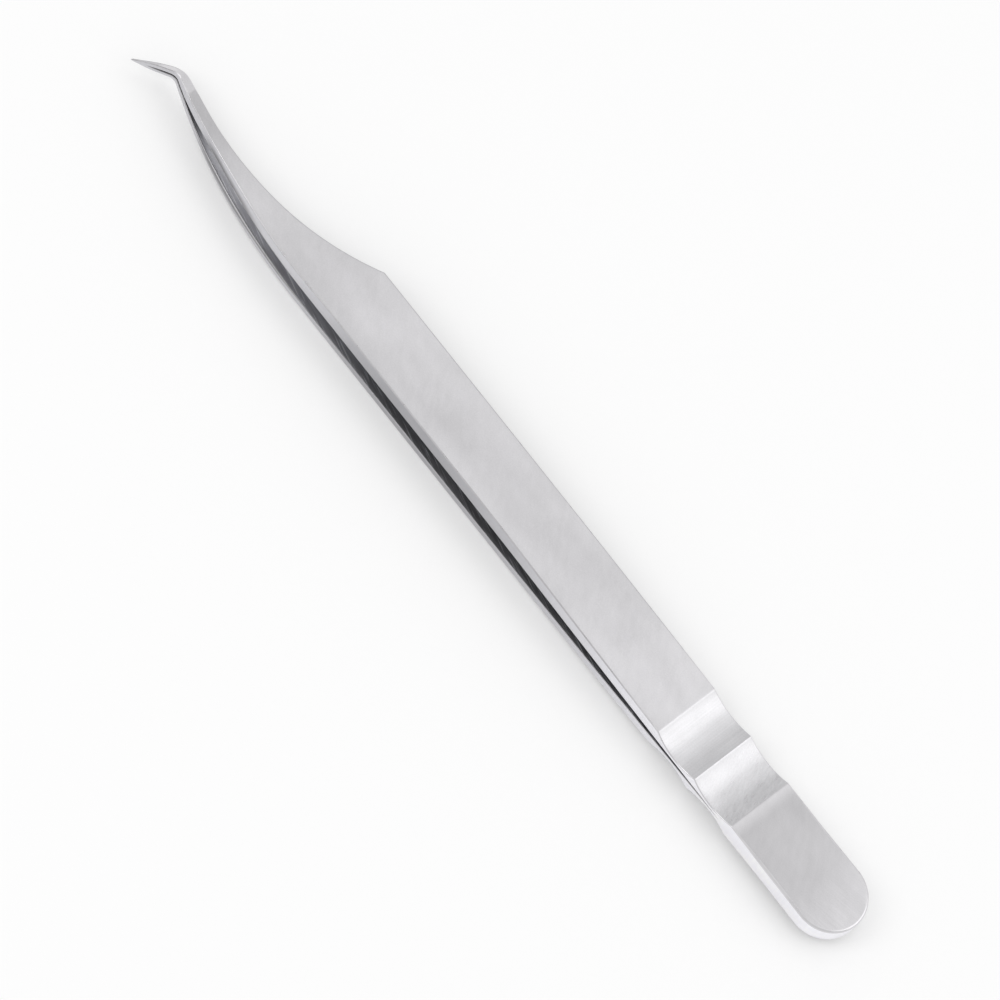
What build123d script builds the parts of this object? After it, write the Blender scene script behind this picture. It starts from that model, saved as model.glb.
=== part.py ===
"""Tweezers with fine angled tips: two mirror-image steel arms, welded and ground flush at the tail.

Frame: X runs along the tool with the tips at +X, Y lies across the arms and +Y is the side
that the tips turn to, and Z stands up through both arms. The origin is under the middle of
the tool, on the face that it rests on. Each arm is drawn in plan at two levels, so that its
sides lean in, and is then trimmed to the arm's bent shape as seen from the side.
"""
from build123d import *
import os

os.makedirs("parts", exist_ok=True)

# Along the tool, measured from the tail end
length = 140.0
root_at = 18.5             # the outer faces start to rise, just behind the scoops
parting_at = 20.6          # the arms part from each other
crest_at = 66.0            # the arms turn parallel

# Along the tool, measured back from the tips
shoulder_back = 40.4       # corner between the blade and the hollowed neck
curve_back = 35.5          # the full side starts to curve in
waist_back = 20.3          # crown of the hollowed side
blade_end_back = 39.0      # the blades start to ease in to the closer necks
neck_start_back = 30.0     # the necks run parallel from here
fall_back = 18.7           # the outer faces start to fall to the needle
closing_back = 16.2        # the inner faces start to close
neck_back = 11.1           # the neck turns from hollow to nearly straight
touch_back = 6.35          # the inner faces meet, and touch from here to the point
bend_back = 5.0            # corner of the angled bend
needle_back = 2.3          # the needle starts to run down to its point

# Across the tool
blade_width = 10.05        # an arm across its inner face
root_width = 10.0
tail_width = 10.25         # the tail ends in a full round of this width
waist_y = 1.0              # hollowed side at its crown, on the outer face
neck_y = -0.08             # hollowed side at neck_back, on the outer face
bend_inner_y = -0.42       # corner on the inside of the bend, on the inner face
bend_outer_y = -1.56       # corner on the outside of the bend, on the outer face
bend_inner_radius = 1.5
bend_outer_radius = 3.2
point_y = 2.93             # how far the point stands off the middle line
point_width = 0.2

# Heights of one arm above the plane where the two meet
blade_gap = 2.44           # clear space between the blades
neck_gap = 2.16            # clear space between the necks
arm_thickness = 1.6
neck_thickness = 1.5
tail_thickness = 1.5       # the tail is ground a little thinner
bend_thickness = 1.0
needle_thickness = 0.92
point_thickness = 0.1

# Sides lean in by this much for each millimetre of height
blade_lean = 0.20
bend_lean = 0.10
point_lean = 0.01

# Bends seen from the side
root_radius = 20.0
crest_radius = 560.0
ease_radius = 150.0
fall_radius = 80.0
closing_radius = 90.0
bend_top_radius = 20.0
needle_radius = 6.0

# Thumb scoops side by side across each outer face
scoop_count = 2
scoop_radius = 7.2
scoop_depth = 1.05
scoop_pitch = 7.2
scoop_front_at = 33.6      # front edge of the first scoop, from the tail end

# Places that follow from the sizes above
tail_x = -length / 2
tip_x = length / 2
root_x = tail_x + root_at
crest_x = tail_x + crest_at
fall_x = tip_x - fall_back
bend_x = tip_x - bend_back
half_gap = blade_gap / 2
half_neck_gap = neck_gap / 2
belly_z = half_gap + arm_thickness
neck_z = half_neck_gap + neck_thickness
whole_width = 2 * max(blade_width, root_width, tail_width)   # wide enough to reach past both sides


def rise_height(x):
    """Height of the outer face between the tail and the crest."""
    share = (x - root_x) / (crest_x - root_x)
    return tail_thickness + share * (belly_z - tail_thickness)


def fall_height(x):
    """Height of the outer face between the parallel necks and the bend."""
    share = (x - fall_x) / (bend_x - fall_x)
    return neck_z + share * (bend_thickness - neck_z)


def round_corner(sketch, corner, radius):
    """Round the corner of a flat outline that lies nearest to a point."""
    nearest = sketch.vertices().sort_by_distance(corner)[0]
    return fillet(nearest, radius)


def plan_outline(level):
    """Outline of the arm in plan where its leaning sides pass a given height."""
    half_tail = tail_width / 2
    round_x = tail_x + half_tail
    half_root = root_width / 2
    half_blade = blade_width / 2 - blade_lean * (level - half_gap)
    half_point = point_width / 2 - point_lean * level
    shoulder = (tip_x - shoulder_back, -half_blade)
    neck_x = tip_x - neck_back
    waist = (tip_x - waist_back, waist_y + blade_lean * (level - neck_z))
    neck = (neck_x, neck_y + blade_lean * (level - fall_height(neck_x)))
    outer_bend = (bend_x, bend_outer_y + bend_lean * (level - bend_thickness))
    inner_bend = (bend_x, bend_inner_y - bend_lean * level)
    point_near = (tip_x, point_y - half_point)
    point_far = (tip_x, point_y + half_point)
    curve_start = (tip_x - curve_back, half_blade)
    tail_right = (round_x, -half_tail)
    tail_left = (round_x, half_tail)

    tail_round = ThreePointArc(tail_left, (tail_x, 0), tail_right)
    blade_right = Polyline(tail_right, (root_x, -half_root), (crest_x, -half_blade), shoulder)
    hollow = ThreePointArc(shoulder, waist, neck)
    slim_neck = TangentArc(neck, outer_bend, tangent=hollow % 1)
    needle = Polyline(outer_bend, point_near, point_far, inner_bend)
    full_side = TangentArc(curve_start, inner_bend, tangent=(1, 0))
    blade_left = Polyline(curve_start, (crest_x, half_blade), (root_x, half_root), tail_left)
    outline = make_face([tail_round, blade_right, hollow, slim_neck, needle, full_side, blade_left])
    outline = round_corner(outline, outer_bend, bend_outer_radius)
    outline = round_corner(outline, inner_bend, bend_inner_radius)
    return Pos(0, 0, level) * outline


def side_band():
    """Bent strip as seen from the side, wide enough to hold the whole arm."""
    outer = FilletPolyline(
        (tail_x, tail_thickness),
        (root_x, tail_thickness),
        (crest_x, belly_z),
        (tip_x - blade_end_back, belly_z),
        (tip_x - neck_start_back, neck_z),
        (fall_x, neck_z),
        (bend_x, bend_thickness),
        (tip_x - needle_back, needle_thickness),
        (tip_x, point_thickness),
        radius=[
            root_radius,
            crest_radius,
            ease_radius,
            ease_radius,
            fall_radius,
            bend_top_radius,
            needle_radius,
        ],
    )
    inner = FilletPolyline(
        (tail_x, 0),
        (tail_x + parting_at, 0),
        (crest_x, half_gap),
        (tip_x - blade_end_back, half_gap),
        (tip_x - neck_start_back, half_neck_gap),
        (tip_x - closing_back, half_neck_gap),
        (tip_x - touch_back, 0),
        (tip_x, 0),
        radius=[root_radius, crest_radius, ease_radius, ease_radius, closing_radius, 0],
    )
    tail_end = Line(inner @ 0, outer @ 0)
    tip_end = Line(inner @ 1, outer @ 1)
    profile = Plane.XZ * make_face([outer, tip_end, inner, tail_end])
    return extrude(profile, amount=whole_width / 2, both=True)


def scoop_cutters():
    """Round cutters that lie across the arm and leave a sharp ridge between the scoops."""
    half_chord = (2 * scoop_radius * scoop_depth - scoop_depth**2) ** 0.5
    first_x = tail_x + scoop_front_at - half_chord
    cutters = []
    for number in range(scoop_count):
        x = first_x - number * scoop_pitch
        z = rise_height(x) + scoop_radius - scoop_depth
        cutters.append(Pos(x, 0, z) * Rot(90, 0, 0) * Cylinder(scoop_radius, whole_width))
    return cutters


def make_arm():
    """One arm, with its inner face on or above the plane where the two arms meet."""
    blank = loft([plan_outline(0), plan_outline(belly_z)], ruled=True)
    arm = blank & side_band()
    for cutter in scoop_cutters():
        arm = arm - cutter
    return arm


arm = make_arm()
upper_arm = Pos(0, 0, belly_z) * arm
lower_arm = Pos(0, 0, belly_z) * mirror(arm, about=Plane.XY)

export_step(upper_arm, "parts/upper_arm.step")
export_step(lower_arm, "parts/lower_arm.step")
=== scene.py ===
"""Fine-point tweezers: two ground steel arms on a pale floor, in soft studio light."""
from math import atan, cos, radians, sin, sqrt, tan

import bmesh
import bpy
import numpy as np
from bpy.props import FloatProperty, FloatVectorProperty, PointerProperty
from mathutils import Matrix, Vector


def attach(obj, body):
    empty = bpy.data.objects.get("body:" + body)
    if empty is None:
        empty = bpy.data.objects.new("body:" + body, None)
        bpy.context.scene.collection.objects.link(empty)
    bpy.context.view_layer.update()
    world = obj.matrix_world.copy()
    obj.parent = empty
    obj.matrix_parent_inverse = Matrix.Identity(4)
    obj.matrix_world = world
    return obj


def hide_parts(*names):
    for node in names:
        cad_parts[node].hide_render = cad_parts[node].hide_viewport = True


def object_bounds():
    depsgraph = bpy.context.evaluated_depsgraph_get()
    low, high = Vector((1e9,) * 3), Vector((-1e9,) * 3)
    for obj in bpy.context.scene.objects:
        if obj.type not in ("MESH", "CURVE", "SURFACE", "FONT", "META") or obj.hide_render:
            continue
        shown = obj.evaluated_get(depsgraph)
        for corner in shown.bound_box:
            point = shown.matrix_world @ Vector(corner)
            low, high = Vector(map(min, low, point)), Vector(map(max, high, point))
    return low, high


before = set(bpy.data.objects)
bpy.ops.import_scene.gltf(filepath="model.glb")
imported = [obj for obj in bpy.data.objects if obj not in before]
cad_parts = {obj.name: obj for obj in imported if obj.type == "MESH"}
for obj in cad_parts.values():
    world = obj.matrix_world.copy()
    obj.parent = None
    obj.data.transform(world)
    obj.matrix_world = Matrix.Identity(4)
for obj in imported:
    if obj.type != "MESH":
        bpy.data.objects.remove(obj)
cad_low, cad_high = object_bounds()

bl_info = {
    "name": "Fine-point tweezers",
    "version": (1, 0, 0),
    "blender": (4, 5, 0),
    "location": "3D View > Sidebar > Tweezers",
    "description": "Makes angled fine-point tweezers from ground steel, and a stage for them",
    "category": "Add Mesh",
}

MM = 0.001
TAIL_X, TIP_X = cad_low.x, cad_high.x
MIDDLE_Z = (cad_low.z + cad_high.z) / 2
SCOOP_COUNT = 2

# Steps across a face, round an edge and down a side of the section, and rows round the tail end
FACE_STEPS, ROUND_STEPS, SIDE_STEPS = 14, 5, 5
FAN_STEPS = 30
QUARTER = np.pi / 2

# Steps between the sections along the tool, and rows over the rounded point
BLADE_STEP, NECK_STEP, SLIM_STEP = 0.8 * MM, 0.3 * MM, 0.2 * MM
FINE_STEP, NEEDLE_STEP = 0.1 * MM, 0.08 * MM
POINT_ROWS = 8
SCOOP_MARGIN, BEND_REACH = 0.5 * MM, 2 * MM

# The most that an edge's round takes of the arm's thickness or width
ROUND_SHARE = 0.35
# How far the rounds of the edges take to change: at the root, into the neck and out of it
ROOT_BLEND, NECK_BLEND, BEND_BLEND = 6 * MM, 8 * MM, 6 * MM

# Points closer than this are merged, and faces that meet at more than this angle stay crisp
MERGE_DISTANCE = 0.001 * MM
CRISP_ANGLE = radians(28)

# Material slots of an arm
OUTER, SIDE, INNER, SCOOP, EDGE = range(5)


def distance(name, description, default, digits=5):
    """A length that a user can set, in metres."""
    return FloatProperty(
        name=name, description=description, default=default, unit="LENGTH", precision=digits
    )


def share(name, description, default):
    """A number from 0 to 1 that a user can set."""
    return FloatProperty(
        name=name, description=description, default=default, min=0, max=1, subtype="FACTOR"
    )


def tint(name, description, default):
    """A colour that a user can set."""
    return FloatVectorProperty(
        name=name, description=description, default=default, min=0, max=1, subtype="COLOR"
    )


def angle(name, description, degrees):
    """An angle that a user can set."""
    return FloatProperty(
        name=name, description=description, default=radians(degrees), subtype="ANGLE"
    )


def power(name, description, default):
    """The power of a lamp that a user can set, in watts."""
    return FloatProperty(name=name, description=description, default=default, min=0, unit="POWER")


class ArmSizes(bpy.types.PropertyGroup):
    """Sizes of one arm. Heights are above the plane where the two arms meet."""

    root_at: distance("Root", "Tail end to where the outer faces start to rise", 18.5 * MM)
    parting_at: distance("Parting", "Tail end to where the arms part", 20.6 * MM)
    crest_at: distance("Crest", "Tail end to where the arms turn parallel", 66 * MM)
    shoulder_back: distance("Shoulder", "Tips to the corner of the blade", 40.4 * MM)
    curve_back: distance("Full side", "Tips to where the full side starts to curve", 35.5 * MM)
    waist_back: distance("Waist", "Tips to the crown of the hollowed side", 20.3 * MM)
    blade_end_back: distance("Blade end", "Tips to where the blades ease in", 39 * MM)
    neck_start_back: distance("Neck start", "Tips to where the necks run parallel", 30 * MM)
    fall_back: distance("Fall", "Tips to where the outer faces start to fall", 18.7 * MM)
    closing_back: distance("Closing", "Tips to where the inner faces start to close", 16.2 * MM)
    neck_back: distance("Neck", "Tips to where the neck turns nearly straight", 11.1 * MM)
    touch_back: distance("Touch", "Tips to where the inner faces meet", 6.35 * MM)
    bend_back: distance("Bend", "Tips to the corner of the angled bend", 5 * MM)
    needle_back: distance("Needle", "Tips to where the needle runs down to its point", 2.3 * MM)

    blade_width: distance("Blade width", "Across an arm's inner face", 10.05 * MM)
    root_width: distance("Root width", "Across the root", 10 * MM)
    tail_width: distance("Tail width", "Across the round tail end", 10.25 * MM)
    waist_y: distance("Waist place", "Crown of the hollow from the middle line", 1 * MM)
    neck_y: distance("Neck place", "End of the hollow from the middle line", -0.08 * MM)
    bend_inner_y: distance("Inside of bend", "From the middle line", -0.42 * MM)
    bend_outer_y: distance("Outside of bend", "From the middle line", -1.56 * MM)
    bend_inner_radius: distance("Inside bend radius", "Seen in plan", 1.5 * MM)
    bend_outer_radius: distance("Outside bend radius", "Seen in plan", 3.2 * MM)
    point_y: distance("Point place", "Point from the middle line", 2.93 * MM)
    point_width: distance("Point width", "Across the point", 0.2 * MM)

    blade_gap: distance("Blade gap", "Clear space between the blades", 2.44 * MM)
    neck_gap: distance("Neck gap", "Clear space between the necks", 2.16 * MM)
    arm_thickness: distance("Arm thickness", "Thickness of the blade", 1.6 * MM)
    neck_thickness: distance("Neck thickness", "Thickness of the neck", 1.5 * MM)
    tail_thickness: distance("Tail thickness", "Thickness of one arm at the tail", 1.5 * MM)
    bend_thickness: distance("Bend thickness", "Thickness at the bend", 1 * MM)
    needle_thickness: distance("Needle thickness", "Thickness of the needle", 0.92 * MM)
    point_thickness: distance("Point thickness", "Thickness of one arm's point", 0.1 * MM)

    blade_lean: share("Blade lean", "How far the blade's sides lean in for their height", 0.2)
    bend_lean: share("Bend lean", "How far the bend's sides lean in for their height", 0.1)
    point_lean: share("Point lean", "How far the point's sides lean in for their height", 0.01)

    root_radius: distance("Root radius", "Bend at the root, from the side", 20 * MM)
    crest_radius: distance("Crest radius", "Bend at the crest, from the side", 560 * MM)
    ease_radius: distance("Ease radius", "Bends between blade and neck, from the side", 150 * MM)
    fall_radius: distance("Fall radius", "Bend where the outer faces fall", 80 * MM)
    closing_radius: distance("Closing radius", "Bend where the inner faces close", 90 * MM)
    bend_top_radius: distance("Bend top radius", "Outer face over the bend", 20 * MM)
    needle_radius: distance("Needle radius", "Outer face over the needle", 6 * MM)

    scoop_radius: distance("Scoop radius", "Radius of each thumb scoop", 7.2 * MM)
    scoop_depth: distance("Scoop depth", "Depth of each thumb scoop", 1.05 * MM)
    scoop_pitch: distance("Scoop pitch", "From one thumb scoop to the next", 7.2 * MM)
    scoop_front_at: distance("Scoop front", "Tail end to the first scoop's front edge", 33.6 * MM)

    outer_round: distance("Outer edge round", "Round of the edges of the outer face", 0.14 * MM)
    tail_round: distance("Tail edge round", "Round of the outer edges at the tail", 0.34 * MM)
    inner_round: distance("Inner edge round", "Round of the edges of the inner face", 0.1 * MM)
    neck_round: distance("Neck edge round", "Round of the inner face's edges at the neck", 0.3 * MM)
    seam_gap: distance("Seam", "Clear space between the needles behind their points", 0.32 * MM)
    seam_back: distance("Seam end", "Tips to where the seam between the needles closes", 1.7 * MM)
    ridge_round: distance("Ridge round", "Softening of the ridges at the scoops", 0.06 * MM)
    point_round: distance("Point round", "Length over which the point is rounded off", 0.2 * MM)


class SteelFinish(bpy.types.PropertyGroup):
    """Colours and roughness of the ground steel."""

    satin: tint("Satin", "Colour of the outer faces and their edges", (0.60, 0.592, 0.607))
    bright: tint("Bright", "Colour of the thumb scoops", (0.64, 0.635, 0.65))
    # Kept light: along the tool the sides' colour is scaled by their painted light and shade
    side: tint("Side", "Colour of the sides", (0.76, 0.755, 0.785))
    dull: tint("Dull", "Colour of the inner faces", (0.40, 0.40, 0.415))
    satin_roughness: share("Satin roughness", "Roughness of the outer faces", 0.36)
    bright_roughness: share("Bright roughness", "Roughness of the scoops", 0.33)
    tip_zone: distance("Tip zone", "Tips to where the finer ground tips begin", 7.9 * MM)


class StageSettings(bpy.types.PropertyGroup):
    """Where the camera stands, and how strong the light is."""

    side_lean: angle("Lean to the side", "Camera's lean to the side the tips turn to", 27)
    tail_lean: angle("Lean to the tail", "Camera's lean towards the tail", 4)
    tool_slope: angle("Slope of the tool", "Tool below the picture's horizontal", 51.42)
    picture_width: distance("Picture width", "Width that the camera sees at the tool", 124 * MM)
    camera_distance: distance("Camera distance", "From the camera to the tool", 1.5, 2)
    tip_right: share("Tip across", "Tips' place in the picture, from its left side", 0.131)
    tip_down: share("Tip down", "Tips' place in the picture, from its top", 0.059)
    floor_width: distance("Floor width", "Width of the floor", 6.0, 2)
    sky: share("Sky", "Strength of the light from all round", 0.8)
    key_power: power("Key light", "Power of the soft box on the camera's side", 1.0)
    top_power: power("Top light", "Power of the soft box over the far side", 0.25)
    tail_power: power("Tail light", "Power of the soft box over the tail", 0.82)


def eased(x, places, heights, radii):
    """Straight runs through the corners, each inner one eased by a parabola as long as its arc.

    Around a corner at c, the change of slope times (t - |x - c|) squared over 4 t is added to the
    straight runs within t of it, where t is the radius times the tangent of half the turn."""
    y = np.interp(x, places, heights)
    slopes = np.diff(heights) / np.diff(places)
    for corner, before, after, radius in zip(places[1:-1], slopes[:-1], slopes[1:], radii):
        reach = radius * tan(abs(atan(after) - atan(before)) / 2)
        if reach > 0:
            inside = np.clip(reach - np.abs(x - corner), 0, None)
            y = y + (after - before) * inside**2 / (4 * reach)
    return y


def tangent_arc(x, start, slope, end):
    """Height at x of the arc that leaves start with a slope and ends at end, and its end slope.

    The centre lies on the normal at the start, at half the squared chord over the chord's share
    of the normal."""
    length = np.sqrt(1 + slope**2)
    normal_x, normal_y = -slope / length, 1 / length
    chord_x, chord_y = end[0] - start[0], end[1] - start[1]
    radius = (chord_x**2 + chord_y**2) / (2 * (chord_x * normal_x + chord_y * normal_y))
    centre_x, centre_y = start[0] + radius * normal_x, start[1] + radius * normal_y
    rise = np.sqrt(np.clip(radius**2 - (x - centre_x) ** 2, 0, None))
    end_slope = -(end[0] - centre_x) / (end[1] - centre_y)
    return centre_y - np.sign(radius) * rise, end_slope


def crowned_arc(x, first, middle, last):
    """Height at x of the arc through three points, crown up, and its slope at the last point.

    The centre is where the bisectors of the two chords cross."""
    (x1, y1), (x2, y2), (x3, y3) = first, middle, last
    a = (x2**2 - x1**2 + y2**2 - y1**2) / 2
    b = (x3**2 - x2**2 + y3**2 - y2**2) / 2
    turn = (x2 - x1) * (y3 - y2) - (x3 - x2) * (y2 - y1)
    centre_x = (a * (y3 - y2) - b * (y2 - y1)) / turn
    centre_y = (b * (x2 - x1) - a * (x3 - x2)) / turn
    radius = np.sqrt((x1 - centre_x) ** 2 + (y1 - centre_y) ** 2)
    rise = np.sqrt(np.clip(radius**2 - (x - centre_x) ** 2, 0, None))
    return centre_y + rise, -(x3 - centre_x) / (y3 - centre_y)


def softer_minimum(a, b, soft):
    """The lower of two heights, with the corner between them rounded over a height of soft."""
    near = np.clip(soft - np.abs(a - b), 0, None) / soft
    return np.minimum(a, b) - near**2 * soft / 4


def outer_height(x, s):
    """Height of the outer face above the meeting plane, before the scoops are ground in it."""
    belly = s.blade_gap / 2 + s.arm_thickness
    neck = s.neck_gap / 2 + s.neck_thickness
    places = (
        TAIL_X, TAIL_X + s.root_at, TAIL_X + s.crest_at, TIP_X - s.blade_end_back,
        TIP_X - s.neck_start_back, TIP_X - s.fall_back, TIP_X - s.bend_back,
        TIP_X - s.needle_back, TIP_X,
    )
    heights = (
        s.tail_thickness, s.tail_thickness, belly, belly, neck, neck,
        s.bend_thickness, s.needle_thickness, s.point_thickness,
    )
    radii = (
        s.root_radius, s.crest_radius, s.ease_radius, s.ease_radius,
        s.fall_radius, s.bend_top_radius, s.needle_radius,
    )
    return eased(x, places, heights, radii)


def inner_height(x, s):
    """Height of the inner face above the meeting plane: none at the tail and at the points.

    In the front half it is at least half the seam between the needles. The seam closes in a
    straight run, over a length equal to its own distance from the tips."""
    places = (
        TAIL_X, TAIL_X + s.parting_at, TAIL_X + s.crest_at, TIP_X - s.blade_end_back,
        TIP_X - s.neck_start_back, TIP_X - s.closing_back, TIP_X - s.touch_back, TIP_X,
    )
    half_blade_gap, half_neck_gap = s.blade_gap / 2, s.neck_gap / 2
    heights = (0, 0, half_blade_gap, half_blade_gap, half_neck_gap, half_neck_gap, 0, 0)
    radii = (s.root_radius, s.crest_radius, s.ease_radius, s.ease_radius, s.closing_radius, 0)
    in_front = x > 0
    opening = np.clip((TIP_X - s.seam_back - x) / s.seam_back, 0, 1) * in_front
    return np.maximum(eased(x, places, heights, radii), s.seam_gap / 2 * opening)


def scoop_places(s):
    """Centre of each thumb scoop, along the tool and above the meeting plane, front scoop first."""
    half_chord = sqrt(2 * s.scoop_radius * s.scoop_depth - s.scoop_depth**2)
    root_x, crest_x = TAIL_X + s.root_at, TAIL_X + s.crest_at
    belly = s.blade_gap / 2 + s.arm_thickness
    for number in range(SCOOP_COUNT):
        x = TAIL_X + s.scoop_front_at - half_chord - number * s.scoop_pitch
        face = s.tail_thickness + (x - root_x) / (crest_x - root_x) * (belly - s.tail_thickness)
        yield x, face + s.scoop_radius - s.scoop_depth


def scooped_height(x, s):
    """Height of the outer face with the scoops: the lower of the face and each scoop's circle."""
    height = outer_height(x, s)
    for centre_x, centre_z in scoop_places(s):
        inside = np.clip(s.scoop_radius**2 - (x - centre_x) ** 2, 0, None)
        circle = np.where(inside > 0, centre_z - np.sqrt(inside), height + s.scoop_radius)
        height = softer_minimum(height, circle, s.ridge_round)
    return height


def left_side(x, z, s):
    """Place of the full side at a height z: straight, an arc to the bend, and the needle's line."""
    half_blade = s.blade_width / 2 - s.blade_lean * (z - s.blade_gap / 2)
    start_x, bend_x = TIP_X - s.curve_back, TIP_X - s.bend_back
    straight = straight_side(x, half_blade, s)
    bend_y = s.bend_inner_y - s.bend_lean * z
    curve, slope = tangent_arc(x, (start_x, half_blade), 0 * z, (bend_x, bend_y))
    point_y = s.point_y + s.point_width / 2 - s.point_lean * z
    needle_slope = (point_y - bend_y) / s.bend_back
    needle = bend_y + needle_slope * (x - bend_x)
    side = np.where(x < start_x, straight, np.where(x < bend_x, curve, needle))
    return side + corner_round(x, bend_x, slope, needle_slope, s.bend_inner_radius)


def right_side(x, z, s):
    """Place of the hollowed side at a height z.

    It runs straight to the shoulder, then in a hollow arc through the waist, in a slim arc that
    carries on from it to the bend, and along the needle's line."""
    neck_height = s.neck_gap / 2 + s.neck_thickness
    half_blade = s.blade_width / 2 - s.blade_lean * (z - s.blade_gap / 2)
    shoulder_x, neck_x = TIP_X - s.shoulder_back, TIP_X - s.neck_back
    bend_x = TIP_X - s.bend_back
    straight = -straight_side(x, half_blade, s)
    waist = (TIP_X - s.waist_back, s.waist_y + s.blade_lean * (z - neck_height))
    fall = (s.fall_back - s.neck_back) / (s.fall_back - s.bend_back)
    neck_top = neck_height + fall * (s.bend_thickness - neck_height)
    neck = (neck_x, s.neck_y + s.blade_lean * (z - neck_top))
    bend_y = s.bend_outer_y + s.bend_lean * (z - s.bend_thickness)
    hollow, neck_slope = crowned_arc(x, (shoulder_x, -half_blade), waist, neck)
    slim, slope = tangent_arc(x, neck, neck_slope, (bend_x, bend_y))
    point_y = s.point_y - s.point_width / 2 + s.point_lean * z
    needle_slope = (point_y - bend_y) / s.bend_back
    needle = bend_y + needle_slope * (x - bend_x)
    side = np.where(x < bend_x, slim, needle)
    side = np.where(x < neck_x, hollow, side)
    side = np.where(x < shoulder_x, straight, side)
    return side + corner_round(x, bend_x, slope, needle_slope, s.bend_outer_radius)


def straight_side(x, half_blade, s):
    """Half the width from the round tail to the end of the blade, in straight runs."""
    half_tail, half_root = s.tail_width / 2, s.root_width / 2
    tail_x, root_x, crest_x = TAIL_X + half_tail, TAIL_X + s.root_at, TAIL_X + s.crest_at
    to_root = np.clip((x - tail_x) / (root_x - tail_x), 0, 1)
    to_crest = np.clip((x - root_x) / (crest_x - root_x), 0, 1)
    return half_tail + to_root * (half_root - half_tail) + to_crest * (half_blade - half_root)


def corner_round(x, corner, before, after, radius):
    """What eases a corner in plan between two slopes: the parabola of eased().

    Its reach is the radius times the tangent of half the turn, times the mean cosine of the two
    slopes' angles, because it is measured along the tool."""
    angle_before, angle_after = np.arctan(before), np.arctan(after)
    along = (np.cos(angle_before) + np.cos(angle_after)) / 2
    reach = radius * np.tan(np.abs(angle_after - angle_before) / 2) * along
    inside = np.clip(reach - np.abs(x - corner), 0, None)
    return (after - before) * inside**2 / (4 * reach)


def span(start, end, step):
    """Even places from start to just before end, about step apart."""
    count = max(2, round((end - start) / step))
    return np.linspace(start, end, count, endpoint=False)


def stations(s):
    """Places along the tool where its section is worked out, closer where it changes fast."""
    scoops = [x for x, _ in scoop_places(s)]
    reach = s.scoop_pitch / 2 + SCOOP_MARGIN
    rear, front = scoops[-1] - reach, scoops[0] + reach
    shoulder, neck = TIP_X - s.shoulder_back, TIP_X - s.neck_back
    bend, needle = TIP_X - s.bend_back - BEND_REACH, TIP_X - s.needle_back
    point = np.sin(np.linspace(0, QUARTER, POINT_ROWS))
    return np.concatenate([
        span(TAIL_X + s.tail_width / 2, rear, BLADE_STEP),
        span(rear, front, FINE_STEP),
        span(front, shoulder, BLADE_STEP),
        span(shoulder, neck, NECK_STEP),
        span(neck, bend, SLIM_STEP),
        span(bend, needle, FINE_STEP),
        span(needle, TIP_X - s.point_round, NEEDLE_STEP),
        TIP_X - s.point_round * (1 - point),
    ])


def section_ring():
    """The columns of points round the section, in order, each as four numbers.

    The first goes from -1 at the hollowed side to 1 at the full side, and the second from 0 at the
    outer face to 1 at the inner face. The last two say how far round the outer and the inner edge
    the point lies: none on the face, and a quarter turn on the side."""
    face = np.linspace(1, -1, FACE_STEPS + 1)
    turn = np.linspace(0, QUARTER, ROUND_STEPS + 1)
    side = np.linspace(0, 1, SIDE_STEPS + 1)[1:-1]
    rows = [(w, 0, 0, 0) for w in face]
    rows += [(-1, 0, a, 0) for a in turn[1:]]
    rows += [(-1, d, QUARTER, QUARTER) for d in side]
    rows += [(-1, 1, 0, a) for a in turn[::-1]]
    rows += [(w, 1, 0, 0) for w in face[::-1][1:]]
    rows += [(1, 1, 0, a) for a in turn[1:]]
    rows += [(1, d, QUARTER, QUARTER) for d in side[::-1]]
    rows += [(1, 0, a, 0) for a in turn[:0:-1]]
    return np.array(rows).T


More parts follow.
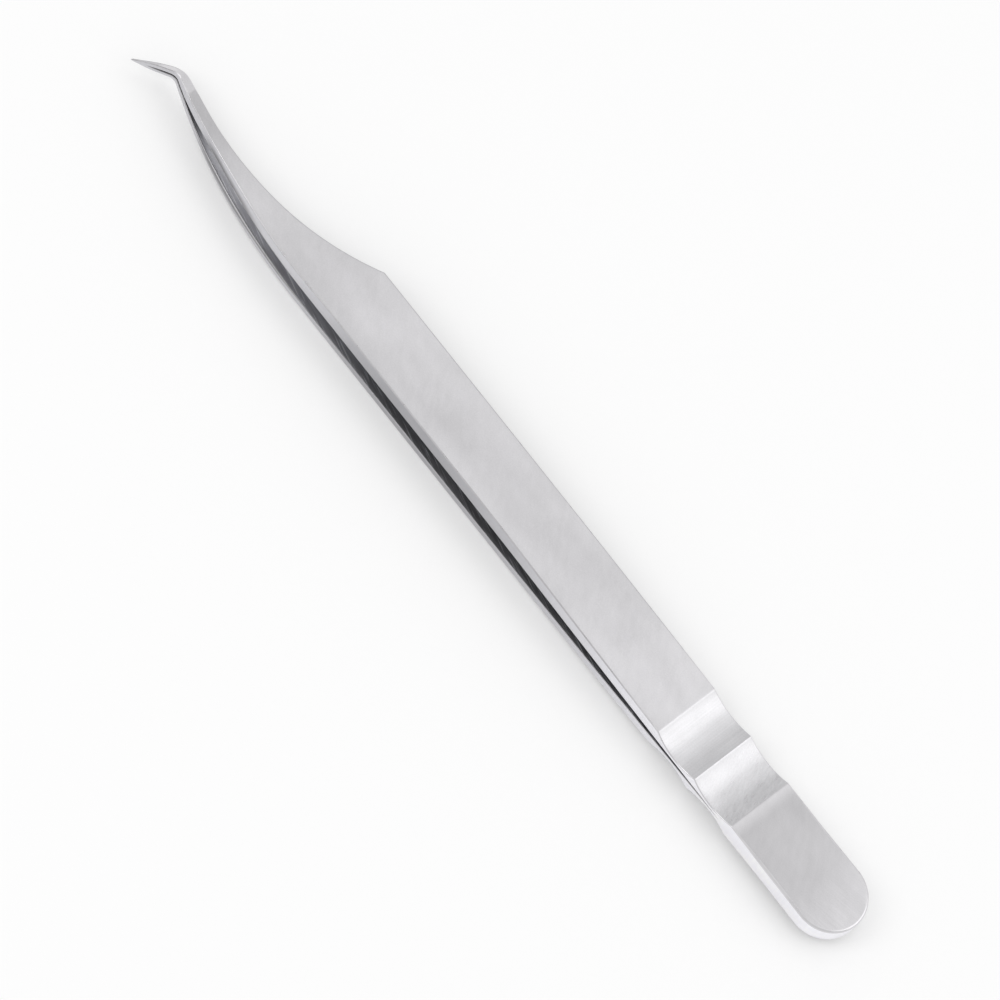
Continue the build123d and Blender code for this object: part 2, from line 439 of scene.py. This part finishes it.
def arm_grid(s):
    """The arm's surface as rows of points along the tool, with a column for each place in the ring.

    A point at angle a of an edge's round stands in by (1 - sin a) and down by (1 - cos a) of its
    radius. From the tail end to the centre of its round the rows fan out: at angle t from the
    middle line a point lies at (-cos t, across sin t) times half the tail's width, less what its
    edge's round takes off. A share p of the way into the rounded point, the section shrinks by the
    square root of (1 - p squared)."""
    across, down, outer_turn, inner_turn = section_ring()

    def height_and_cut(outer, inner, outer_round, inner_round):
        """Height of each point, and how far it stands in from the side."""
        top = outer - outer_round * (1 - np.cos(outer_turn))
        bottom = inner + inner_round * (1 - np.cos(inner_turn))
        outer_cut = (1 - down) * outer_round * (1 - np.sin(outer_turn))
        inner_cut = down * inner_round * (1 - np.sin(inner_turn))
        return top + down * (bottom - top), outer_cut + inner_cut

    x = stations(s)[:, None]
    into_point = np.clip((x - (TIP_X - s.point_round)) / s.point_round, 0, 1)
    shrink = np.sqrt(1 - into_point**2)
    inner = inner_height(x, s)
    outer = inner + (scooped_height(x, s) - inner) * shrink
    width = left_side(x, inner, s) - right_side(x, inner, s)
    room = ROUND_SHARE * np.minimum(outer - inner, width * shrink)

    at_tail = np.clip((TAIL_X + s.root_at - x) / ROOT_BLEND, 0, 1)
    outer_round = np.minimum(s.outer_round + at_tail * (s.tail_round - s.outer_round), room)
    past_blade = np.clip((x - (TIP_X - s.blade_end_back)) / NECK_BLEND, 0, 1)
    at_neck = past_blade * np.clip((TIP_X - s.neck_back - x) / BEND_BLEND, 0, 1)
    inner_round = np.minimum(s.inner_round + at_neck * (s.neck_round - s.inner_round), room)
    inner_round = inner_round * np.clip(inner / s.inner_round, 0, 1)

    z, cut = height_and_cut(outer, inner, outer_round, inner_round)
    left, right = left_side(x, z, s), right_side(x, z, s)
    half_width = np.clip((left - right) / 2 - cut, 0, None) * shrink
    y = (left + right) / 2 + across * half_width
    body = np.stack(np.broadcast_arrays(x, y, z), axis=-1)

    fan = np.linspace(0, QUARTER, FAN_STEPS, endpoint=False)[:, None]
    fan_z, fan_cut = height_and_cut(s.tail_thickness, 0, s.tail_round, 0)
    radius = s.tail_width / 2 - fan_cut
    fan_x = TAIL_X + s.tail_width / 2 - radius * np.cos(fan)
    fan_y = across * radius * np.sin(fan)
    tail = np.stack(np.broadcast_arrays(fan_x, fan_y, fan_z), axis=-1)
    return np.concatenate([tail, body])


def arm_slots(grid, s):
    """Material slot of each face: by its column, and by its row where a scoop is ground in."""
    _, down, outer_turn, inner_turn = section_ring()
    rows, columns = grid.shape[:2]
    after = (np.arange(columns) + 1) % columns
    on_outer = (down == 0) & (outer_turn == 0)
    on_inner = (down == 1) & (inner_turn == 0)
    outer_edge = (outer_turn > 0) & (outer_turn < QUARTER)
    inner_edge = (inner_turn > 0) & (inner_turn < QUARTER)
    on_edge = outer_edge | inner_edge
    slots = np.full(columns, SIDE)
    slots[on_edge | on_edge[after]] = EDGE
    slots[on_outer & on_outer[after]] = OUTER
    slots[on_inner & on_inner[after]] = INNER
    slots = np.broadcast_to(slots, (rows - 1, columns)).copy()
    x = (grid[1:, 0, 0] + grid[:-1, 0, 0])[:, None] / 2
    dug = scooped_height(x, s) < outer_height(x, s) - s.ridge_round / 2
    slots[dug & (slots == OUTER)] = SCOOP
    return slots


def arm_mesh(name, facing, s):
    """Mesh of one arm: its grid closed round the section, and its two ends merged to poles.

    facing is 1 for the upper arm and -1 for the lower one, whose faces are put in the other way
    round, so that they point outwards too."""
    grid = arm_grid(s)
    rows, columns = grid.shape[:2]
    points = grid.reshape(-1, 3) * (1, 1, facing) + (0, 0, MIDDLE_Z)
    row = np.arange(rows - 1)[:, None] * columns
    column = np.arange(columns)
    after = (column + 1) % columns
    corners = (row + column, row + columns + column, row + columns + after, row + after)
    faces = np.stack(np.broadcast_arrays(*corners), axis=-1).reshape(-1, 4)
    mesh = bpy.data.meshes.new(name)
    mesh.from_pydata(points, [], faces[:, ::-facing])
    mesh.polygons.foreach_set("material_index", arm_slots(grid, s).ravel())
    form = bmesh.new()
    form.from_mesh(mesh)
    bmesh.ops.remove_doubles(form, verts=form.verts, dist=MERGE_DISTANCE)
    form.to_mesh(mesh)
    form.free()
    mesh.shade_smooth()
    mesh.set_sharp_from_angle(angle=CRISP_ANGLE)
    return mesh


class Value:
    """A shader's number, colour or vector. Arithmetic on it adds the Math nodes."""

    def __init__(self, tree, socket):
        self.tree, self.socket = tree, socket

    def node(self, kind, sockets, output=0, **settings):
        """Adds any node: its settings first, then the values or links of its sockets."""
        made = self.tree.nodes.new(kind)
        for name, value in settings.items():
            setattr(made, name, value)
        for name, value in sockets.items():
            if isinstance(value, Value):
                self.tree.links.new(value.socket, made.inputs[name])
            else:
                made.inputs[name].default_value = value
        return Value(self.tree, made.outputs[output]) if made.outputs else None

    def maths(self, operation, *values):
        """A Math node on the values given, in their order, or on this one alone."""
        values = values or (self,)
        return self.node("ShaderNodeMath", dict(enumerate(values)), operation=operation)

    def __add__(self, other):
        return self.maths("ADD", self, other)

    def __sub__(self, other):
        return self.maths("SUBTRACT", self, other)

    def __rsub__(self, other):
        return self.maths("SUBTRACT", other, self)

    def __mul__(self, other):
        return self.maths("MULTIPLY", self, other)

    __radd__, __rmul__ = __add__, __mul__

    def step(self, start, end):
        """0 before start and 1 after end, smooth between them."""
        sockets = {"Value": self, "From Min": start, "From Max": end}
        return self.node("ShaderNodeMapRange", sockets, interpolation_type="SMOOTHSTEP")

    def part(self, axis):
        """One coordinate of this point."""
        return self.node("ShaderNodeSeparateXYZ", {"Vector": self}, output="XYZ".index(axis))

    def turned(self, degrees):
        """This point turned about the vertical axis."""
        sockets = {"Vector": self, "Rotation": (0, 0, radians(degrees))}
        return self.node("ShaderNodeMapping", sockets)

    def grain(self, length, width, height, detail=3.0, seed=0.0):
        """Noise from 0 to 1 at this point, in grains that measure so many millimetres."""
        scale = tuple(1 / (size * MM) for size in (length, width, height))
        sockets = {0: self, 1: scale, 2: (seed, seed, seed)}
        point = self.node("ShaderNodeVectorMath", sockets, operation="MULTIPLY_ADD")
        sockets = {"Vector": point, "Scale": 1.0, "Detail": detail}
        return self.node("ShaderNodeTexNoise", sockets)

    def lights(self, colour):
        """A colour made as light as this value says."""
        sockets = {0: colour, "Scale": self}
        return self.node("ShaderNodeVectorMath", sockets, operation="SCALE")


# Depths of the grain in the bumps
FINE_DEPTH, SCOOP_DEPTH, DULL_DEPTH = 0.004 * MM, 0.005 * MM, 0.008 * MM

# Where the finishes, the painted light and the painted shade change, in millimetres from the tail
# end: start and end of each change
# The next change ends the painted glints on the tail end's edges
END_GLINT = 1, 5
TAIL_LINES = 2, 9
TAIL_DARKENS = 9, 17
TAIL_FACE = 17, 19
# The next change fades the painted light on the sides along the blade
SIDE_PAINTED_LIGHT_FADES = 20, 82
# The next change ends the painted light on the edges at the tail
EDGE_PAINTED_LIGHT_FADES = 33, 46
# The next change is painted shade along the blade's rise
RISE_PAINTED_SHADE = 35, 80

# And in millimetres back from the tips
INSIDE_LIGHTENS = 62, 34
# The next change darkens the inner edges with painted shade
INNER_EDGE_SHADE = 60, 38
# The next change brings painted light back onto the sides at the neck
SIDE_LIGHTENS = 52, 34
# Between this change and the hollow's end below, the low part of the side carries painted shade
HOLLOW_STARTS = 28, 22
# The next change starts the painted highlight on the outer edges at the neck
NECK_HIGHLIGHT = 20, 16
HOLLOW_ENDS = 17, 12
# The next change darkens the inner faces near the tips with painted shade
INSIDE_DARKENS = 16, 9
# The painted highlight on the outer edges at the bend lies between the next two changes
BEND_HIGHLIGHT_STARTS = 9, 7.5
BEND_HIGHLIGHT_ENDS = 5, 4.2

# The finer ground tips: half the width of their border, and how far the shade behind it reaches
TIP_BORDER, TIP_SHADE = 0.2 * MM, 16 * MM
RIDGE_BORDER = 0.3 * MM

# Millimetres from the plane where the arms meet: where the low part of a side, which carries
# painted shade in the hollow, ends
LOW_SIDE = 1.0, 2.3
# And where the outer edges start, which sinks with the outer face from the fall's start on
OUTER_EDGE = 1.5, 1.75
FALL_START, FALL_SLOPE = 16 * MM, 0.09


def past_tail(x, change):
    """0 nearer the tail end than a change of finish, painted light or painted shade, and 1 beyond
    it, smooth within it.
    """
    start, end = change
    return x.step(TAIL_X + start * MM, TAIL_X + end * MM)


def near_tips(x, change):
    """0 further from the tips than a change of finish, painted light or painted shade, and 1
    nearer, smooth within it.
    """
    start, end = change
    return x.step(TIP_X - start * MM, TIP_X - end * MM)


def off_middle(point):
    """How far a point stands above or below the plane where the arms meet."""
    return (point.part("Z") - MIDDLE_Z).maths("ABSOLUTE")


def satin_face(point, finish):
    """Outer face: cloudy satin, fine lines along the tail end, and a lighter, finer ground tip.

    Behind the tip and along the blade's rise it carries painted shade.
    """
    x = point.part("X")
    tip_x = TIP_X - finish.tip_zone
    tip = x.step(tip_x - TIP_BORDER, tip_x + TIP_BORDER)
    shade = x.step(tip_x - TIP_SHADE, tip_x) * (1 - tip)
    lined = 1 - past_tail(x, TAIL_LINES)
    tail = 1 - past_tail(x, TAIL_FACE)
    behind_scoops = tail * past_tail(x, TAIL_DARKENS)
    rise = past_tail(x, RISE_PAINTED_SHADE)
    cloud = point.grain(15, 6, 15, detail=2)
    patch = point.turned(50).grain(2.2, 0.9, 2.2, seed=3.0)
    speck = point.grain(0.16, 0.16, 0.16, detail=2)
    lines = point.turned(-12).grain(3, 0.2, 3)
    light = 0.68 + 0.42 * cloud + 0.12 * patch + 0.18 * speck
    # Painted shade: darker behind the finer ground tip and along the blade's rise
    light += 0.16 * tip - 0.06 * shade - 0.05 * rise
    light += lined * (0.02 + 0.2 * lines) - 0.14 * tail - 0.07 * behind_scoops
    roughness = finish.satin_roughness - 0.05 + 0.1 * cloud - 0.08 * tip
    height = 0.5 * speck + 0.3 * cloud + lined * lines
    return light.lights(finish.satin), roughness, height, FINE_DEPTH


def ground_scoop(point, finish):
    """Scoop: bright, ground across in fine lines, with a slanting hatch in the rear scoop."""
    x = point.part("X")
    arm = bpy.context.scene.tweezers_arm
    ridge_x = TAIL_X + arm.scoop_front_at - arm.scoop_pitch
    rear = 1 - x.step(ridge_x - RIDGE_BORDER, ridge_x)
    across = point.grain(0.22, 9, 9)
    slant = point.turned(-18).grain(0.24, 1.2, 9)
    steep = point.turned(-42).grain(0.3, 1.2, 9, seed=5.0)
    hatch = (0.6 * slant + 0.4 * steep).step(0.26, 0.74)
    lines = rear.node("ShaderNodeMix", {"Factor": rear, 2: across, 3: hatch}, data_type="FLOAT")
    cloud = point.grain(2.5, 4, 4)
    speck = point.grain(0.18, 0.18, 0.18, detail=2)
    light = 0.71 + 0.2 * cloud + 0.2 * speck + (0.26 - 0.1 * rear) * lines + 0.02 * rear
    roughness = finish.bright_roughness - 0.08 + 0.16 * lines
    return light.lights(finish.bright), roughness, lines * (1 - 0.5 * rear), SCOOP_DEPTH


def brushed_side(point, finish):
    """Side: brushed across in short fine lines, with painted light, lightest at the tail and darker
    along the blade.

    It has painted light again at the neck, and painted shade on the low part of the hollow."""
    x = point.part("X")
    tail = 1 - past_tail(x, SIDE_PAINTED_LIGHT_FADES)
    neck = near_tips(x, SIDE_LIGHTENS)
    hollow = near_tips(x, HOLLOW_STARTS) * (1 - near_tips(x, HOLLOW_ENDS))
    start, end = LOW_SIDE
    low = 1 - off_middle(point).step(start * MM, end * MM)
    # Painted light and shade: lighter at the tail and the neck, darker along the blade and on the
    # low part of the hollow
    painted_place_light = (0.56 + 0.72 * tail + 0.28 * neck) * (1 - 0.8 * hollow * low)
    lines = point.grain(0.2, 3, 3)
    cloud = point.grain(6, 6, 1.2)
    light = painted_place_light * (0.86 + 0.18 * cloud + 0.1 * lines)
    roughness = finish.satin_roughness - 0.1 + 0.12 * lines
    return light.lights(finish.side), roughness, lines, FINE_DEPTH


def worn_edge(point, finish):
    """Edges: thin and worn, with painted highlights, most of all at the tail, the neck and the
    bend.

    From the blade's front to the tips the inner edges are darker, with painted shade."""
    x = point.part("X")
    past_fall = x.maths("MAXIMUM", x - (TIP_X - FALL_START), 0.0)
    start, end = OUTER_EDGE
    outer = (off_middle(point) + FALL_SLOPE * past_fall).step(start * MM, end * MM)
    neck = near_tips(x, NECK_HIGHLIGHT) * outer
    bend = near_tips(x, BEND_HIGHLIGHT_STARTS) * (1 - near_tips(x, BEND_HIGHLIGHT_ENDS)) * outer
    inner = near_tips(x, INNER_EDGE_SHADE) * (1 - outer)
    tail = 1 - past_tail(x, EDGE_PAINTED_LIGHT_FADES)
    end_glint = 1 - past_tail(x, END_GLINT)
    wear = point.grain(1.6, 1.6, 1.6)
    # Painted highlights: lighter edges at the tail and the bend, and stronger glints at the neck
    # and the tail end
    light = 0.74 + 0.28 * tail + 0.3 * bend + (0.2 + 0.1 * neck + 0.1 * end_glint) * wear
    # Painted shade on the inner edges from the blade's front to the tips
    light *= 1 - 0.34 * inner
    roughness = finish.satin_roughness - 0.14 + 0.14 * wear
    return light.lights(finish.satin), roughness, wear, FINE_DEPTH


def dull_inside(point, finish):
    """Inner face: dull, with long and slanting grinding streaks, lighter towards the neck.

    Near the tips, where the inner faces close together, it is darker with painted shade.
    """
    x = point.part("X")
    neck = near_tips(x, INSIDE_LIGHTENS)
    tip = near_tips(x, INSIDE_DARKENS)
    streaks = point.turned(9).grain(7, 0.3, 9)
    slant = point.turned(15).grain(4, 0.2, 9, seed=7.0)
    scratch = slant.step(0.54, 0.7)
    # Painted shade near the tips, where the inner faces close together
    light = (0.62 + 0.8 * streaks + 1.2 * scratch + 0.5 * neck) * (1 - 0.6 * tip)
    roughness = finish.satin_roughness - 0.05 + 0.12 * streaks
    return light.lights(finish.dull), roughness, streaks + slant, DULL_DEPTH


def steel(paint):
    """A metal material named for its paint.

    The paint takes a point in Object coordinates and the finish, and returns the colour, the
    roughness, and the height and depth of the bumps."""
    material = bpy.data.materials.new(paint.__name__)
    material.use_nodes = True
    tree = material.node_tree
    tree.nodes.clear()
    point = Value(tree, tree.nodes.new("ShaderNodeTexCoord").outputs["Object"])
    colour, roughness, height, depth = paint(point, bpy.context.scene.tweezers_finish)
    sockets = {"Height": height, "Distance": depth, "Strength": 1.0}
    bump = point.node("ShaderNodeBump", sockets)
    sockets = {"Base Color": colour, "Roughness": roughness, "Metallic": 1.0, "Normal": bump}
    surface = point.node("ShaderNodeBsdfPrincipled", sockets)
    point.node("ShaderNodeOutputMaterial", {"Surface": surface})
    return material


# Paints of the material slots OUTER, SIDE, INNER, SCOOP and EDGE
PAINTS = (satin_face, brushed_side, dull_inside, ground_scoop, worn_edge)


class TWEEZERS_OT_arms(bpy.types.Operator):
    """Makes the two arms, mirror images of each other, in ground steel"""

    bl_idname = "tweezers.arms"
    bl_label = "Arms"

    def execute(self, context):
        finishes = [steel(paint) for paint in PAINTS]
        for node, facing in (("upper_arm", 1), ("lower_arm", -1)):
            name = "ground_" + node
            mesh = arm_mesh(name, facing, context.scene.tweezers_arm)
            for finish in finishes:
                mesh.materials.append(finish)
            arm = bpy.data.objects.new(name, mesh)
            context.scene.collection.objects.link(arm)
            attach(arm, "root")
            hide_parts(node)
        return {"FINISHED"}


# Share of the floor's own white light in what the camera and reflections see of it
FLOOR_GLOW = 0.2
FLOOR_COLOUR = (0.97, 0.97, 0.97, 1)
WHITE = (1, 1, 1, 1)

# Nearest and furthest that the camera sees, as shares of its distance from the tool
NEAREST, FURTHEST = 0.1, 20

# Place, width and height of each soft box, and the setting that holds its power
SOFT_BOXES = {
    "key_light": ((0.33, 0.45, 0.6), (0.3, 0.45), "key_power"),
    "top_light": ((0.0, -0.36, 0.71), (0.5, 0.5), "top_power"),
    "tail_light": ((-0.48, -0.36, 0.53), (0.58, 0.58), "tail_power"),
}


def camera_axes(stage):
    """The camera's right, up and back, as its lean to the side and the tail and the slope say."""
    back = Vector((-sin(stage.tail_lean), sin(stage.side_lean), 0))
    back.z = sqrt(1 - back.x**2 - back.y**2)
    tailwards = (Vector((-1, 0, 0)) + back * back.x).normalized()
    sidewards = tailwards.cross(back)
    right = cos(stage.tool_slope) * tailwards - sin(stage.tool_slope) * sidewards
    return right, back.cross(right), back


def add_camera(context, stage):
    """A long lens, placed so that the tips stand where they do in the picture."""
    right, up, back = camera_axes(stage)
    tips = Vector((TIP_X, context.scene.tweezers_arm.point_y, MIDDLE_Z))
    off_centre = (0.5 - stage.tip_right) * right - (0.5 - stage.tip_down) * up
    aim = tips + stage.picture_width * off_centre
    data = bpy.data.cameras.new("camera")
    data.lens = data.sensor_width * stage.camera_distance / stage.picture_width
    data.clip_start = stage.camera_distance * NEAREST
    data.clip_end = stage.camera_distance * FURTHEST
    camera = bpy.data.objects.new("camera", data)
    turn = Matrix((right, up, back)).transposed().to_4x4()
    camera.matrix_world = Matrix.Translation(aim + back * stage.camera_distance) @ turn
    context.scene.collection.objects.link(camera)
    context.scene.camera = camera


def add_soft_box(context, name, place, size, watts):
    """A soft box that faces the tool and isn't seen by the camera."""
    data = bpy.data.lights.new(name, "AREA")
    data.shape, data.energy = "RECTANGLE", watts
    data.size, data.size_y = size
    light = bpy.data.objects.new(name, data)
    light.location = place
    light.rotation_mode = "QUATERNION"
    light.rotation_quaternion = Vector(place).to_track_quat("Z", "Y")
    light.visible_camera = False
    context.scene.collection.objects.link(light)


def pale_floor(stage):
    """A plain pale floor that keeps the shadow, a little lighter as seen and as reflected."""
    material = bpy.data.materials.new("pale_floor")
    material.use_nodes = True
    tree = material.node_tree
    tree.nodes.clear()
    path = tree.nodes.new("ShaderNodeLightPath").outputs
    seen = Value(tree, path["Is Camera Ray"]) + Value(tree, path["Is Glossy Ray"])
    paint = seen.node("ShaderNodeBsdfDiffuse", {"Color": FLOOR_COLOUR})
    glow = seen.node("ShaderNodeEmission", {"Color": WHITE, "Strength": 1.0})
    surface = seen.node("ShaderNodeMixShader", {"Fac": seen * FLOOR_GLOW, 1: paint, 2: glow})
    seen.node("ShaderNodeOutputMaterial", {"Surface": surface})
    half = stage.floor_width / 2
    mesh = bpy.data.meshes.new("floor")
    corners = [(-half, -half, 0), (half, -half, 0), (half, half, 0), (-half, half, 0)]
    mesh.from_pydata(corners, [], [(0, 1, 2, 3)])
    mesh.materials.append(material)
    return bpy.data.objects.new("floor", mesh)


class TWEEZERS_OT_stage(bpy.types.Operator):
    """Makes the floor, the soft light and the camera"""

    bl_idname = "tweezers.stage"
    bl_label = "Stage"

    def execute(self, context):
        stage = context.scene.tweezers_stage
        floor = pale_floor(stage)
        context.scene.collection.objects.link(floor)
        for name, (place, size, setting) in SOFT_BOXES.items():
            add_soft_box(context, name, place, size, getattr(stage, setting))
        world = bpy.data.worlds.new("studio")
        world.use_nodes = True
        sky = world.node_tree.nodes["Background"].inputs
        sky["Color"].default_value = WHITE
        sky["Strength"].default_value = stage.sky
        context.scene.world = world
        context.scene.view_settings.view_transform = "Standard"
        add_camera(context, stage)
        return {"FINISHED"}


class TWEEZERS_PT_panel(bpy.types.Panel):
    """The tweezers' pieces, their stage and their sizes, in the 3D view's sidebar"""

    bl_label = "Tweezers"
    bl_space_type = "VIEW_3D"
    bl_region_type = "UI"
    bl_category = "Tweezers"

    def draw(self, context):
        for operator in OPERATORS:
            self.layout.operator(operator.bl_idname)
        for group in GROUPS:
            box = self.layout.box()
            for name in GROUPS[group].__annotations__:
                box.prop(getattr(context.scene, group), name)


OPERATORS = (TWEEZERS_OT_arms, TWEEZERS_OT_stage)
GROUPS = {
    "tweezers_arm": ArmSizes,
    "tweezers_finish": SteelFinish,
    "tweezers_stage": StageSettings,
}


def register():
    """Registers the classes and keeps their sizes on the scene."""
    for kind in (*GROUPS.values(), *OPERATORS, TWEEZERS_PT_panel):
        bpy.utils.register_class(kind)
    for name, kind in GROUPS.items():
        setattr(bpy.types.Scene, name, PointerProperty(type=kind))


def unregister():
    """Takes the sizes off the scene and unregisters the classes."""
    for name in GROUPS:
        delattr(bpy.types.Scene, name)
    for kind in reversed((*GROUPS.values(), *OPERATORS, TWEEZERS_PT_panel)):
        bpy.utils.unregister_class(kind)


def main():
    register()
    bpy.ops.tweezers.arms()
    bpy.ops.tweezers.stage()


if __name__ == "__main__":
    main()
